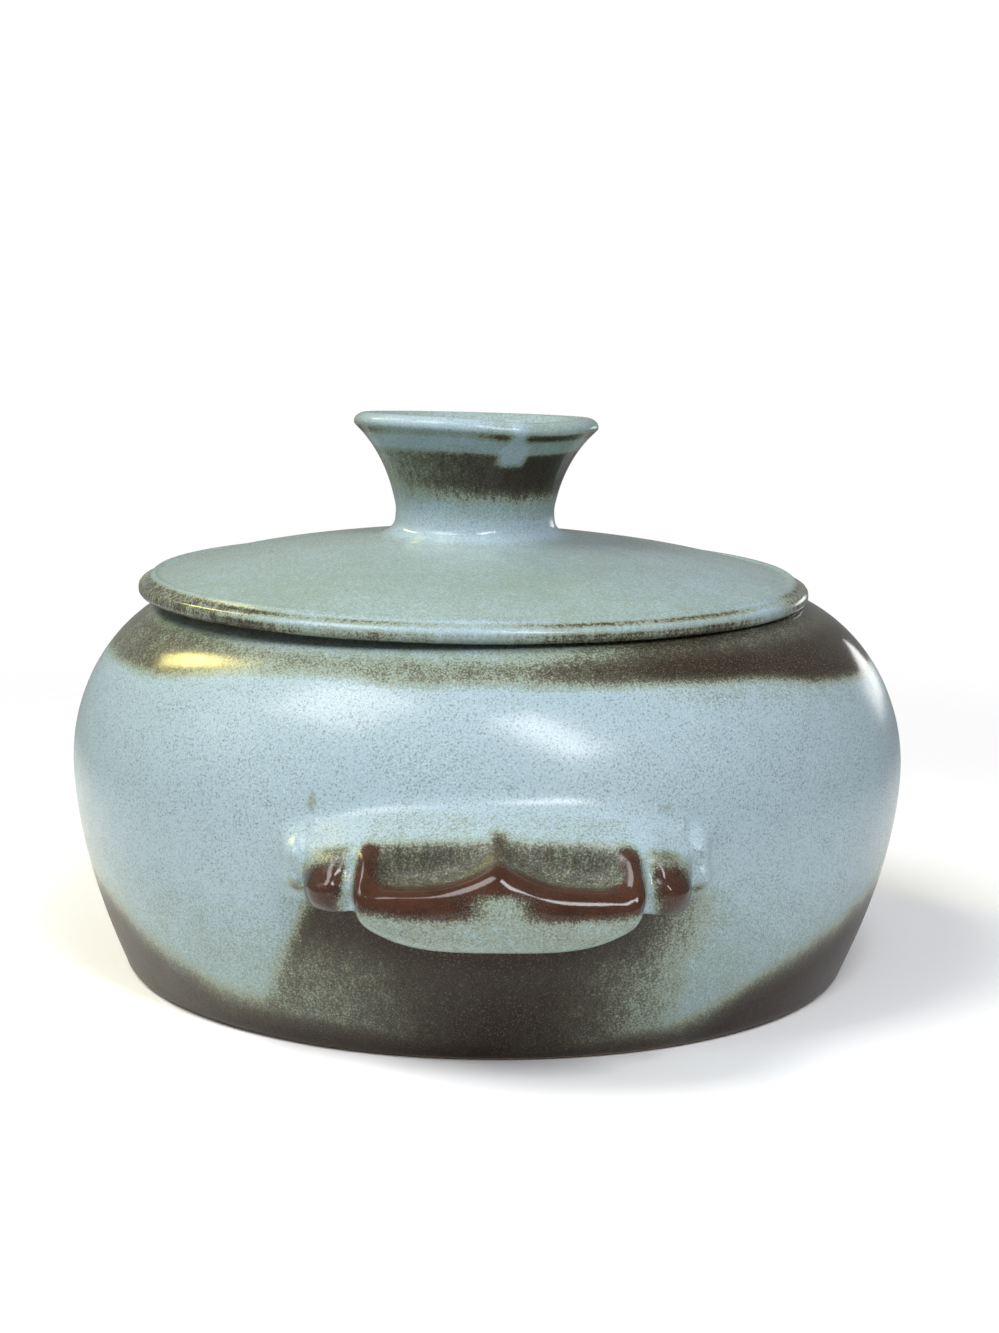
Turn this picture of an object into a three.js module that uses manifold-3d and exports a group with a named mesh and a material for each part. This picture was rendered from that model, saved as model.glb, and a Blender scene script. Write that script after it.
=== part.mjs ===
// Lidded stoneware casserole dish: a squat round bowl, two moulded lug handles luted to its belly,
// and a domed lid that carries a flared hollow knob.
// Millimetres, +Z up. The origin is on the table, under the middle of the bowl; the lugs lie on the Y axis.
import * as THREE from 'three';
import { mergeVertices } from 'three/addons/utils/BufferGeometryUtils.js';
import Module from 'manifold-3d';

const wasm = await Module();
wasm.setup();

// Bowl
const BELLY_RADIUS = 115;
const BELLY_HEIGHT = 58;
const HEEL_RADIUS = 101.5;
const HEEL_HEIGHT = 3.5;
const LOWER_WALL_SWELL = 1.75;
const SHOULDER_WIDTH = 42;
const SHOULDER_RISE = 47;
const RIM_RADIUS = 85;
const RIM_WIDTH = 9;
const RIM_ROUNDING = 2;
const WALL = 6.5;
const FLOOR = 8;
const FLOOR_FILLET = 14;
const FOOT_WIDTH = 9;
const FOOT_ROUNDING = 3.5;
const FOOT_RECESS = 2;

// Lid
const LID_RADIUS = 92.5;
const LID_EDGE = 5.4;
const LID_EDGE_ROUNDING = 2.6;
const LID_THICKNESS = 6.5;
const DOME_RISE = 12.4;
const DOME_BULGE = 1.8;
const SEAT_OVERHANG = 3;
const FLANGE_PLAY = 5;
const LID_SHIFT = -4.3;
const FLANGE_WIDTH = 5;
const FLANGE_DEPTH = 6;
const LID_GAP = 0.3;
const LUTED_GAP = 0.3;

// Knob
const THROAT_RADIUS = 21.7;
const THROAT_HEIGHT = 5;
const KNOB_FOOT_RADIUS = 24.5;
const LIP_RADIUS = 33.8;
const KNOB_HEIGHT = 32.6;
const LIP_ROUNDING = 3;
const KNOB_WALL = 6;
const CUP_DEPTH = 15;
const LIP_TILT = 1.6;
const LIP_TILT_ANGLE = THREE.MathUtils.degToRad(-107);
const LIP_PINCH = 1.3;
const LIP_PINCH_SPREAD = 0.28;
const LIP_PINCH_ANGLE = THREE.MathUtils.degToRad(-62);

// Lug handles: angles are measured round the bowl from the middle of the lug, in degrees
const LUG_REACH = 23;
const LUG_TOP = 68;
const LUG_BOTTOM = 36;
const LAND_REACH = 9.5;
const LAND_DROP = 6.5;
const LAND_FALL = 5;
const RIDGE_HEIGHT = 50;
const PEAK_RISE = 6.8;
const PEAK_SPREAD = 4;
const SCOOP_DEPTH = 4.6;
const CORNER_RISE = 7.4;
const BLOCK_ANGLE = 14.8;
const GROOVE_ANGLE = 1.7;
const LOBE_ANGLE = 5.8;
const GROOVE_SHARE = 0.63;
const LOBE_SHARE = 0.82;
const LUG_END_SHARE = 0.32;

// Facets
const BOWL_FACETS = 56;
const KNOB_FACETS = 36;
const WALL_STEPS = 7;
const DOME_STEPS = 5;
const FLARE_STEPS = 7;
const SECTION_STEPS = 20;

const { degToRad, lerp, smoothstep } = THREE.MathUtils;
const point = (r, z) => new THREE.Vector2(r, z);

// Outer radius of the bowl at a height above the table.
function wallRadius(z) {
  if (z < BELLY_HEIGHT) {
    const fall = (BELLY_HEIGHT - z) / (BELLY_HEIGHT - HEEL_HEIGHT);
    return BELLY_RADIUS - (BELLY_RADIUS - HEEL_RADIUS) * fall ** LOWER_WALL_SWELL;
  }
  const rise = (z - BELLY_HEIGHT) / SHOULDER_RISE;
  return BELLY_RADIUS - SHOULDER_WIDTH * (1 - Math.sqrt(1 - rise * rise));
}

// Height of the shoulder's quarter ellipse at a radius.
function shoulderHeight(radius) {
  const across = (radius - BELLY_RADIUS + SHOULDER_WIDTH) / SHOULDER_WIDTH;
  return BELLY_HEIGHT + SHOULDER_RISE * Math.sqrt(1 - across * across);
}

const MOUTH_RADIUS = RIM_RADIUS - RIM_WIDTH;
const RIM_HEIGHT = shoulderHeight(RIM_RADIUS);

// The wall's line from the heel up to a radius on the shoulder, moved inwards by a thickness.
function wallLine(inset, endRadius) {
  const heights = [];
  for (let i = 0; i < WALL_STEPS; i += 1) {
    heights.push(lerp(HEEL_HEIGHT, BELLY_HEIGHT, i / WALL_STEPS));
  }
  const endAngle = Math.asin((shoulderHeight(endRadius) - BELLY_HEIGHT) / SHOULDER_RISE);
  for (let i = 0; i <= WALL_STEPS; i += 1) {
    heights.push(BELLY_HEIGHT + SHOULDER_RISE * Math.sin(endAngle * i / WALL_STEPS));
  }
  const step = 0.01;
  return heights.map((z) => {
    const along = point(wallRadius(z) - wallRadius(z - step), step).normalize();
    return point(wallRadius(z) - inset * along.y, z + inset * along.x);
  });
}

// A rounding from one point to another that bulges towards a corner.
function rounded(from, corner, to, steps = 4) {
  return new THREE.QuadraticBezierCurve(from, corner, to).getPoints(steps);
}

// A profile of radii and heights turned about the upright axis.
function revolve(profile, facets) {
  const geometry = new THREE.LatheGeometry(profile, facets);
  geometry.rotateX(Math.PI / 2);
  return geometry;
}

function toSolid(geometry) {
  const bare = geometry.clone();
  bare.deleteAttribute('normal');
  bare.deleteAttribute('uv');
  const merged = mergeVertices(bare, 1e-4);
  return new wasm.Manifold(new wasm.Mesh({
    numProp: 3,
    vertProperties: new Float32Array(merged.attributes.position.array),
    triVerts: new Uint32Array(merged.index.array),
  }));
}

function toGeometry(solid) {
  const mesh = solid.getMesh();
  const geometry = new THREE.BufferGeometry();
  geometry.setAttribute('position', new THREE.BufferAttribute(mesh.vertProperties, 3));
  geometry.setIndex(new THREE.BufferAttribute(mesh.triVerts, 1));
  geometry.computeVertexNormals();
  return geometry;
}

// Bowl: foot ring, swelling wall, shoulder, flat rim, even inner wall and rounded floor.
function bowlGeometry() {
  const outer = wallLine(0, RIM_RADIUS);
  const inner = wallLine(WALL, MOUTH_RADIUS).filter((p) => p.y > FLOOR + FLOOR_FILLET).reverse();
  const footOuter = HEEL_RADIUS - FOOT_ROUNDING;
  const footInner = footOuter - FOOT_WIDTH;
  const floorEdge = wallRadius(FLOOR) - WALL;
  const floorStart = inner[inner.length - 1];
  const rimEdge = point(MOUTH_RADIUS + RIM_ROUNDING, RIM_HEIGHT);
  const mouthTop = point(MOUTH_RADIUS, RIM_HEIGHT);
  return revolve([
    point(0, FOOT_RECESS),
    point(footInner - FOOT_RECESS, FOOT_RECESS),
    point(footInner, 0),
    ...rounded(point(footOuter, 0), point(HEEL_RADIUS - 1, 0), outer[0]),
    ...outer.slice(1),
    ...rounded(rimEdge, mouthTop, point(MOUTH_RADIUS, RIM_HEIGHT - RIM_ROUNDING), 3),
    ...inner,
    ...rounded(floorStart, point(floorEdge, FLOOR), point(floorEdge - FLOOR_FILLET, FLOOR)).slice(1),
    point(0, FLOOR),
  ], BOWL_FACETS);
}

// Lid: rounded edge, shallow dome, and a flange under it that drops into the mouth.
const SEAT_HEIGHT = RIM_HEIGHT + LID_GAP;
const EDGE_TOP = SEAT_HEIGHT + LID_EDGE;
const DOME_EDGE_RADIUS = LID_RADIUS - LID_EDGE_ROUNDING;

// Height of the dome at a radius: a cone with a slight bulge.
function domeHeight(radius) {
  const out = Math.min(radius / DOME_EDGE_RADIUS, 1);
  return EDGE_TOP + DOME_RISE * (1 - out) + 4 * DOME_BULGE * out * (1 - out);
}

const KNOB_SEAT = domeHeight(KNOB_FOOT_RADIUS);

function lidGeometry() {
  const flangeOuter = MOUTH_RADIUS - FLANGE_PLAY;
  const flangeInner = flangeOuter - FLANGE_WIDTH;
  const flangeBottom = SEAT_HEIGHT - FLANGE_DEPTH;
  const undersideEdge = flangeInner - 1;
  const seatEdge = RIM_RADIUS + SEAT_OVERHANG;
  const dome = [];
  for (let i = 0; i <= DOME_STEPS; i += 1) {
    const radius = lerp(DOME_EDGE_RADIUS, KNOB_FOOT_RADIUS, i / DOME_STEPS);
    dome.push(point(radius, domeHeight(radius)));
  }
  const underside = [];
  for (let i = 0; i <= DOME_STEPS; i += 1) {
    const radius = lerp(THROAT_RADIUS, undersideEdge, i / DOME_STEPS);
    underside.push(point(radius, domeHeight(radius) - LID_THICKNESS));
  }
  const middle = (SEAT_HEIGHT + EDGE_TOP) / 2;
  return revolve([
    point(0, underside[0].y),
    ...underside,
    point(flangeInner, flangeBottom + 1),
    point(flangeInner + 1, flangeBottom),
    point(flangeOuter - 1, flangeBottom),
    point(flangeOuter, flangeBottom + 1),
    point(flangeOuter, SEAT_HEIGHT),
    ...rounded(point(seatEdge, SEAT_HEIGHT), point(LID_RADIUS, SEAT_HEIGHT), point(LID_RADIUS, middle)),
    ...rounded(point(LID_RADIUS, middle), point(LID_RADIUS, EDGE_TOP), dome[0]).slice(1),
    ...dome.slice(1),
    point(0, KNOB_SEAT),
  ], BOWL_FACETS);
}

// Knob: a throat that flares to a thick lip round a hollow cup; the lip leans and is pinched at one side.
function knobGeometry() {
  const base = KNOB_SEAT + LUTED_GAP;
  const throat = base + THROAT_HEIGHT;
  const top = base + KNOB_HEIGHT;
  const lipMiddle = top - LIP_ROUNDING;
  const flare = new THREE.CubicBezierCurve(
    point(THROAT_RADIUS, throat),
    point(lerp(THROAT_RADIUS, LIP_RADIUS, 0.1), lerp(throat, lipMiddle, 0.42)),
    point(lerp(THROAT_RADIUS, LIP_RADIUS, 0.48), lerp(throat, lipMiddle, 0.78)),
    point(LIP_RADIUS, lipMiddle),
  );
  const foot = point(KNOB_FOOT_RADIUS - LUTED_GAP, base + 0.8);
  const cupEdge = point(LIP_RADIUS - KNOB_WALL, top - 0.5);
  const cupFloor = top - CUP_DEPTH;
  const geometry = revolve([
    point(0, base),
    point(KNOB_FOOT_RADIUS - LUTED_GAP, base),
    ...rounded(foot, point(THROAT_RADIUS, base + 1.5), point(THROAT_RADIUS, throat), 3),
    ...flare.getPoints(FLARE_STEPS).slice(1),
    ...rounded(point(LIP_RADIUS, lipMiddle), point(LIP_RADIUS, top), point(LIP_RADIUS - LIP_ROUNDING, top)).slice(1),
    ...rounded(cupEdge, point(THROAT_RADIUS - KNOB_WALL, cupFloor), point(0, cupFloor), 6),
  ], KNOB_FACETS);
  const place = geometry.attributes.position;
  for (let i = 0; i < place.count; i += 1) {
    const x = place.getX(i);
    const y = place.getY(i);
    const share = smoothstep(place.getZ(i), throat, top) * Math.hypot(x, y) / LIP_RADIUS;
    const turn = Math.atan2(y, x);
    const lean = LIP_TILT * Math.cos(turn - LIP_TILT_ANGLE);
    const away = Math.sin((turn - LIP_PINCH_ANGLE) / 2) / LIP_PINCH_SPREAD;
    place.setZ(i, place.getZ(i) + share * (lean - LIP_PINCH * Math.exp(-(away ** 2))));
  }
  return geometry;
}

const LUG_HALF_ANGLE = BLOCK_ANGLE + GROOVE_ANGLE + LOBE_ANGLE;

// How far the lug stands out, as a share of its full reach, at an angle from its middle.
function lugShare(angle) {
  const a = Math.abs(angle);
  const grooveMiddle = BLOCK_ANGLE + GROOVE_ANGLE / 2;
  const lobeStart = BLOCK_ANGLE + GROOVE_ANGLE;
  const toGroove = smoothstep(a, BLOCK_ANGLE - 0.9, grooveMiddle);
  const toLobe = smoothstep(a, grooveMiddle, lobeStart + 0.9);
  const toEnd = Math.max(0, (a - lobeStart) / LOBE_ANGLE) ** 3;
  return lerp(lerp(lerp(1, GROOVE_SHARE, toGroove), LOBE_SHARE, toLobe), LUG_END_SHARE, toEnd);
}

// Upright section of the lug at an angle: how far out of the wall, and how high, from the top root round
// the sloping land, the scoop, the ridge, the nose and the hollow underside back to the wall.
function lugSection(angle) {
  const a = Math.abs(angle);
  const out = LUG_REACH * lugShare(angle);
  const onBlock = 1 - smoothstep(a, BLOCK_ANGLE - 2, BLOCK_ANGLE);
  const spine = (Math.exp(-a / PEAK_SPREAD) + Math.exp(-((a / PEAK_SPREAD) ** 2))) / 2;
  const scoop = (1 - 0.9 * Math.exp(-a / PEAK_SPREAD)) * (1 - smoothstep(a, BLOCK_ANGLE - 4, BLOCK_ANGLE - 1));
  const towardsEnd = smoothstep(a, BLOCK_ANGLE + GROOVE_ANGLE, LUG_HALF_ANGLE);
  const landTop = LUG_TOP - LAND_FALL * (a / LUG_HALF_ANGLE) ** 2;
  const landEdge = point(LAND_REACH * (1 - 0.4 * towardsEnd), landTop - LAND_DROP);
  const ridge = point(0.88 * out, lerp(landEdge.y - 5.5, RIDGE_HEIGHT + PEAK_RISE * spine, onBlock));
  const bottom = LUG_BOTTOM + CORNER_RISE * Math.min(a / BLOCK_ANGLE, 1) ** 4;
  const sink = lerp(-0.8, SCOOP_DEPTH, scoop);
  const across = (share) => point(
    lerp(landEdge.x, ridge.x, share) - 0.55 * sink,
    lerp(landEdge.y, ridge.y, share) - 0.83 * sink,
  );
  const knots = [
    point(0, landTop),
    point(0.5 * landEdge.x, lerp(landTop, landEdge.y, 0.42)),
    landEdge,
    across(0.33),
    across(0.67),
    ridge,
    point(0.985 * out, lerp(ridge.y, bottom, 0.22)),
    point(out, lerp(ridge.y, bottom, 0.5)),
    point(0.92 * out, lerp(ridge.y, bottom, 0.84)),
    point(0.77 * out, bottom),
    point(0.52 * out, bottom + 1.2),
    point(0.25 * out, bottom + 4.2),
    point(0, bottom + 5.4),
  ];
  return new THREE.SplineCurve(knots).getPoints(SECTION_STEPS);
}

// The angles at which the lug's sections stand, closest together at the grooves.
function lugAngles() {
  const lobeStart = BLOCK_ANGLE + GROOVE_ANGLE;
  const side = [];
  for (let i = 1; i <= 9; i += 1) {
    side.push((BLOCK_ANGLE - 0.9) * i / 9);
  }
  for (let i = 1; i <= 5; i += 1) {
    side.push(lerp(BLOCK_ANGLE - 0.9, lobeStart + 0.9, i / 5));
  }
  for (let i = 1; i <= 5; i += 1) {
    side.push(lerp(lobeStart + 0.9, LUG_HALF_ANGLE, i / 5));
  }
  return [...side.map((a) => -a).reverse(), 0, ...side];
}

// One lug, lofted through its sections round the front of the bowl and cut clear of the wall.
function lugSolid() {
  const angles = lugAngles();
  const buried = WALL / 2;
  const rings = angles.map((angle) => {
    const section = lugSection(angle);
    const first = section[0];
    const last = section[section.length - 1];
    const ring = [point(-buried, first.y), ...section, point(-buried, last.y)];
    return ring.map((p) => {
      const radius = wallRadius(p.y) + p.x;
      return [radius * Math.sin(degToRad(angle)), -radius * Math.cos(degToRad(angle)), p.y];
    });
  });
  const size = rings[0].length;
  const corners = rings.flat();
  const faces = [];
  for (let i = 0; i + 1 < rings.length; i += 1) {
    for (let j = 0; j < size; j += 1) {
      const a = i * size + j;
      const b = i * size + (j + 1) % size;
      faces.push([a, b, a + size], [b, b + size, a + size]);
    }
  }
  const outline = rings[0].map((p) => point(p[1], p[2]));
  const caps = THREE.ShapeUtils.triangulateShape(outline, []);
  const lastRing = (rings.length - 1) * size;
  const flip = THREE.ShapeUtils.isClockWise(outline);
  caps.forEach(([a, b, c]) => {
    faces.push(flip ? [a, b, c] : [a, c, b]);
    faces.push(flip ? [lastRing + a, lastRing + c, lastRing + b] : [lastRing + a, lastRing + b, lastRing + c]);
  });
  const geometry = new THREE.BufferGeometry();
  geometry.setAttribute('position', new THREE.Float32BufferAttribute(corners.flat(), 3));
  geometry.setIndex(faces.flat());
  const wall = wallLine(-LUTED_GAP, RIM_RADIUS);
  const body = [point(0, wall[0].y), ...wall, point(0, wall[wall.length - 1].y)];
  return toSolid(geometry).subtract(toSolid(revolve(body, BOWL_FACETS)));
}

const glaze = (name, colour) => new THREE.MeshStandardMaterial({ name, color: colour, roughness: 0.2, metalness: 0 });

const part = new THREE.Group();
part.name = 'casserole_dish';

function add(name, geometry, colour) {
  const mesh = new THREE.Mesh(geometry, glaze(`${name}_glaze`, colour));
  mesh.name = name;
  part.add(mesh);
  return mesh;
}

const lug = toGeometry(lugSolid());
add('bowl', bowlGeometry(), 0xa9beb8);
add('front_handle', lug, 0x8f8f78);
add('back_handle', lug, 0x8f8f78).rotation.z = Math.PI;
add('lid', lidGeometry(), 0xb0c6c2).position.x = LID_SHIFT;
add('lid_knob', knobGeometry(), 0x9aaaa2).position.x = LID_SHIFT;

export default part;
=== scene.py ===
"""A glazed stoneware casserole: bowl with two moulded lugs, and a domed lid with a flared knob.

The bowl and its lugs are one fired piece, and so are the lid and its knob, so each is one mesh.
A pale blue-green glaze covers both and breaks to olive and brown where it ran thin.
"""

import math

import bmesh
import bpy
import numpy as np
from mathutils import Matrix, Vector


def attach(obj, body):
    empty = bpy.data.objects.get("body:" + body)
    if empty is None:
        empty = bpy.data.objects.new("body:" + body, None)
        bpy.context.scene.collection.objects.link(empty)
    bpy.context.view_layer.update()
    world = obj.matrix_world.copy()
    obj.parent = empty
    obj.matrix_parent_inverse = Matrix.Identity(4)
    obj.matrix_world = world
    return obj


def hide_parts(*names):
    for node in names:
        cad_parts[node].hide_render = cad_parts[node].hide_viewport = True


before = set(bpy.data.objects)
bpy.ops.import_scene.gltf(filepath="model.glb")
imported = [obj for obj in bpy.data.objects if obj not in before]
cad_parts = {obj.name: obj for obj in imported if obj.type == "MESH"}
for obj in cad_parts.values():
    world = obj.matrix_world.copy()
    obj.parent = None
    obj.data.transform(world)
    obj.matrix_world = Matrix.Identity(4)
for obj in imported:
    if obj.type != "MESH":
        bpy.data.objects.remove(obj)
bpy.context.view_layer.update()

MM = 0.001

# Bowl, in millimetres, as in the part's source
BELLY_RADIUS = 115.0
BELLY_HEIGHT = 58.0
HEEL_RADIUS = 101.5
HEEL_HEIGHT = 3.5
LOWER_WALL_SWELL = 1.75
SHOULDER_WIDTH = 42.0
SHOULDER_RISE = 47.0
RIM_RADIUS = 85.0
MOUTH_RADIUS = 76.0
WALL = 6.5
FLOOR = 8.0
FOOT_OUTER = 98.0
FOOT_INNER = 89.0
FOOT_RECESS = 2.0

# Lid and knob
LID_RADIUS = 92.5
LID_EDGE = 5.4
LID_EDGE_ROUNDING = 2.6
LID_THICKNESS = 6.5
DOME_RISE = 12.4
DOME_BULGE = 1.8
EDGE_DROOP = 1.5
DROOP_START = 58.0
SEAT_EDGE = 88.0
FLANGE_OUTER = 71.0
FLANGE_INNER = 66.0
FLANGE_DEPTH = 6.0
LID_GAP = 0.3
LID_SHIFT = -4.3
KNOB_FOOT_RADIUS = 24.5
FILLET_RADIUS = 27.6
THROAT_RADIUS = 21.7
THROAT_HEIGHT = 5.3
LIP_RADIUS = 33.8
KNOB_HEIGHT = 32.6
CUP_DEPTH = 15.0
LIP_TILT = 1.6
LIP_TILT_ANGLE = math.radians(-107)
LIP_PINCH = 1.3
LIP_PINCH_SPREAD = 0.28
LIP_PINCH_ANGLE = math.radians(-62)
LIP_ROUNDING = 3.0
DRIP_TURN = -71.0
DRIP_HEIGHT = 23.8
DRIP_HALF_WIDTH = 3.9
DRIP_HALF_LENGTH = 3.0
DRIP_SWELL = 0.7

# The fillet at the knob's foot, as radius and height over the dome, and the line over the lip into the
# hollow, as steps from the lip's radius and the knob's top
KNOB_FILLET = ((25.4, 0.35), (23.5, 1.5), (22.3, 3.2))
LIP_LINE = (
    (-0.7, -1.0), (-2.5, 0.0), (-4.6, -0.2), (-6.6, -1.8), (-8.8, -4.8), (-12.4, -8.6),
    (-17.4, -12.2), (-24.8, -14.5),
)

# Lugs, angles in degrees from the middle of the lug
LUG_REACH = 23.0
LUG_TOP = 68.0
LUG_BOTTOM = 36.0
LAND_REACH = 9.5
LAND_DROP = 6.5
LAND_FALL = 5.0
RIDGE_HEIGHT = 50.0
PEAK_RISE = 6.8
PEAK_SPREAD = 4.0
RIDGE_ROLL = 1.2
SCOOP_DEPTH = 4.6
CORNER_RISE = 7.4
BLOCK_ANGLE = 14.8
GROOVE_ANGLE = 1.7
GROOVE_SOFTNESS = 0.9
LOBE_ANGLE = 5.8
GROOVE_SHARE = 0.63
LOBE_SHARE = 0.82
LUG_END_SHARE = 0.32
LUG_HALF_ANGLE = BLOCK_ANGLE + GROOVE_ANGLE + LOBE_ANGLE
LUG_FADE_ANGLE = 1.2
SMEAR_ANGLE = 1.7
SMEAR_HEIGHT = 51.5
SMEAR_HALF_HEIGHT = 8.0
SMEAR_SWELL = 6.3
SMEAR_FADE_TO_LUG = 4.0
SMEAR_FADE_TO_WALL = 2.4

# How the meshes are divided
LUG_ROWS = 84
LUG_COLUMNS = 160
PLAIN_COLUMNS = 64
RECESS_ROWS = 12
DETOUR_LOW = 32.0
DETOUR_HIGH = 72.5
LID_COLUMNS = 288
LID_ROWS = 280

# Values painted on the meshes' points: how thin the glaze lies, with painted shade and a painted highlight
# # added into it in places, where it breaks red, where the clay is bare, how speckled a change is, and how
# # soft the shine is
PAINTED = ("glaze_thin", "iron_red", "bare_clay", "peppered", "satin")
THIN_AND_PAINTED_LIGHT, RED, BARE, PEPPERED, SATIN = range(len(PAINTED))
DOME_THIN = 0.28
INSIDE_THIN = 0.1
RECESS_THIN = 0.75
FOOT_SATIN = 2.4
SCOOP_SATIN = 3.4

# How thin the glaze lies on the wall, by degrees from the front: at the foot, on the shoulder, and in
# the sprayed patch under each lug; and the heights and the angle where those begin
FOOT_THIN = ([-60, -25, 0], [0.86, 0.9, 0.97])
SHOULDER_THIN = ([-66, -50, -35, 0, 10, 24, 90], [0.66, 0.62, 0.5, 0.55, 0.66, 0.9, 0.93])
SPRAY_THIN = ([-30, -18, -9, 0, 8, 16, 24, 34], [0.64, 0.68, 0.86, 0.94, 0.88, 0.68, 0.42, 0.0])
FOOT_LINE_LEFT = 14.0
FOOT_LINE_RIGHT = 10.2
FOOT_CLIMB = 0.66
SHOULDER_LINE = 93.3
SHOULDER_SAG = 5.5
SPRAY_EDGE = -24.6
SPRAY_LEAN = 0.31
SPRAY_TOP = 44.0
# Painted shade low on the wall: the glaze is made darker and greener there, fading out upwards
LOWER_WALL_SHADE = 0.27

# The same along a lug, by the stations of its section: on the block, on the lobes, and how red a lobe
# breaks; the height where the block's face turns from pale to red; and the stations of the land and
# of the plain wall
LUG_THIN = (
    [2, 4, 4.8, 5.2, 9.2, 9.8, 11.8, 12.0, 12.15],
    [0.99, 0.97, 0.66, 0.4, 0.34, 0.68, 0.67, 0.48, 0.23],
)
LOBE_THIN = ([4.6, 5.4, 9.5, 10.2, 11.8, 12.2], [0.9, 0.86, 0.92, 0.62, 0.6, 0.05])
LOBE_RED = ([5.2, 6.0, 9.5, 10.6], [0.0, 0.75, 0.85, 0.25])
RED_BORDER = 45.3
LAND_STATION = 12.5
WALL_STATION = 14.0

# The photograph's camera: lens in millimetres, place in metres, angles in degrees
CAMERA_LENS = 68.46
CAMERA_PLACE = (0.0012, -0.7, 0.2)
CAMERA_PITCH = 9.58
CAMERA_YAW = -0.16
CAMERA_ROLL = 0.9
CAMERA_ROUND_OBJECT = -1.6


def mix(a, b, share):
    return a + (b - a) * share


def step(x, low, high):
    """Smooth rise from 0 at low to 1 at high."""
    t = np.clip((np.asarray(x, float) - low) / (high - low), 0.0, 1.0)
    return t * t * (3.0 - 2.0 * t)


def hump(x, middle, spread):
    """A soft hill of height 1."""
    return np.exp(-(((np.asarray(x, float) - middle) / spread) ** 2))


def through(knots, count):
    """A smooth line through rows of numbers, in even steps along its first two columns."""
    rows = np.asarray(knots, float)
    padded = np.vstack([2 * rows[0] - rows[1], rows, 2 * rows[-1] - rows[-2]])
    place = np.linspace(0, len(rows) - 1 - 1e-9, 24 * len(rows))
    index = place.astype(int)
    t = (place - index)[:, None]
    a, b, c, d = padded[index], padded[index + 1], padded[index + 2], padded[index + 3]
    fine = 0.5 * (2 * b + (c - a) * t + (2 * a - 5 * b + 4 * c - d) * t**2 + (3 * b - a - 3 * c + d) * t**3)
    return even(fine, count)


def even(line, count):
    """A broken line resampled to even steps along its first two columns."""
    run = np.concatenate([[0], np.cumsum(np.hypot(*np.diff(line[:, :2], axis=0).T))])
    places = np.linspace(0, run[-1], count)
    return np.column_stack([np.interp(places, run, column) for column in line.T])


# The bowl's forms

def wall_radius(z):
    """Outer radius of the bowl at a height."""
    z = np.asarray(z, float)
    fall = np.clip((BELLY_HEIGHT - z) / (BELLY_HEIGHT - HEEL_HEIGHT), 0, None)
    lower = BELLY_RADIUS - (BELLY_RADIUS - HEEL_RADIUS) * fall**LOWER_WALL_SWELL
    rise = np.clip((z - BELLY_HEIGHT) / SHOULDER_RISE, 0, 1)
    upper = BELLY_RADIUS - SHOULDER_WIDTH * (1 - np.sqrt(1 - rise**2))
    return np.where(z < BELLY_HEIGHT, lower, upper)


def shoulder_line(end_radius, inset, count):
    """The shoulder's quarter ellipse from the top of the lugs' zone, moved inwards."""
    start = math.asin((DETOUR_HIGH - BELLY_HEIGHT) / SHOULDER_RISE)
    end = math.acos((end_radius - BELLY_RADIUS + SHOULDER_WIDTH) / SHOULDER_WIDTH)
    angle = np.linspace(start, end, count)
    slope = np.column_stack([np.cos(angle) / SHOULDER_WIDTH, np.sin(angle) / SHOULDER_RISE])
    slope /= np.linalg.norm(slope, axis=1)[:, None]
    line = np.column_stack([
        BELLY_RADIUS - SHOULDER_WIDTH * (1 - np.cos(angle)),
        BELLY_HEIGHT + SHOULDER_RISE * np.sin(angle),
    ])
    return line - inset * slope


RIM_HEIGHT = shoulder_line(RIM_RADIUS, 0, 2)[-1, 1]


def lug_share(angle):
    """How far the lug stands out, as a share of its reach, at an angle from its middle."""
    a = abs(angle)
    groove_middle = BLOCK_ANGLE + GROOVE_ANGLE / 2
    lobe_start = BLOCK_ANGLE + GROOVE_ANGLE
    groove = step(a, BLOCK_ANGLE - GROOVE_SOFTNESS, groove_middle)
    lobe = step(a, groove_middle, lobe_start + GROOVE_SOFTNESS)
    end = min(max(0.0, (a - lobe_start) / LOBE_ANGLE), 1.0) ** 3
    return mix(mix(mix(1.0, GROOVE_SHARE, groove), LOBE_SHARE, lobe), LUG_END_SHARE, end)


def shine_loss(thin):
    """Thick glaze is satin, thin glaze is glossy."""
    return 1 - step(thin, 0.35, 0.75)


def smear(angle, z):
    """Clay smeared round the end of the lug when it was joined on: how far it swells from the wall."""
    past = abs(angle) - LUG_HALF_ANGLE - SMEAR_ANGLE
    lumpy = 1 + 0.16 * np.sin(0.75 * z + 2.0 * np.sign(angle)) + 0.1 * math.sin(2.1 * angle)
    upright = np.exp(-(((z - SMEAR_HEIGHT) / SMEAR_HALF_HEIGHT) ** 4))
    fade = SMEAR_FADE_TO_WALL if past > 0 else SMEAR_FADE_TO_LUG
    return SMEAR_SWELL * lumpy * upright * math.exp(-((past / fade) ** 2))


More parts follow.
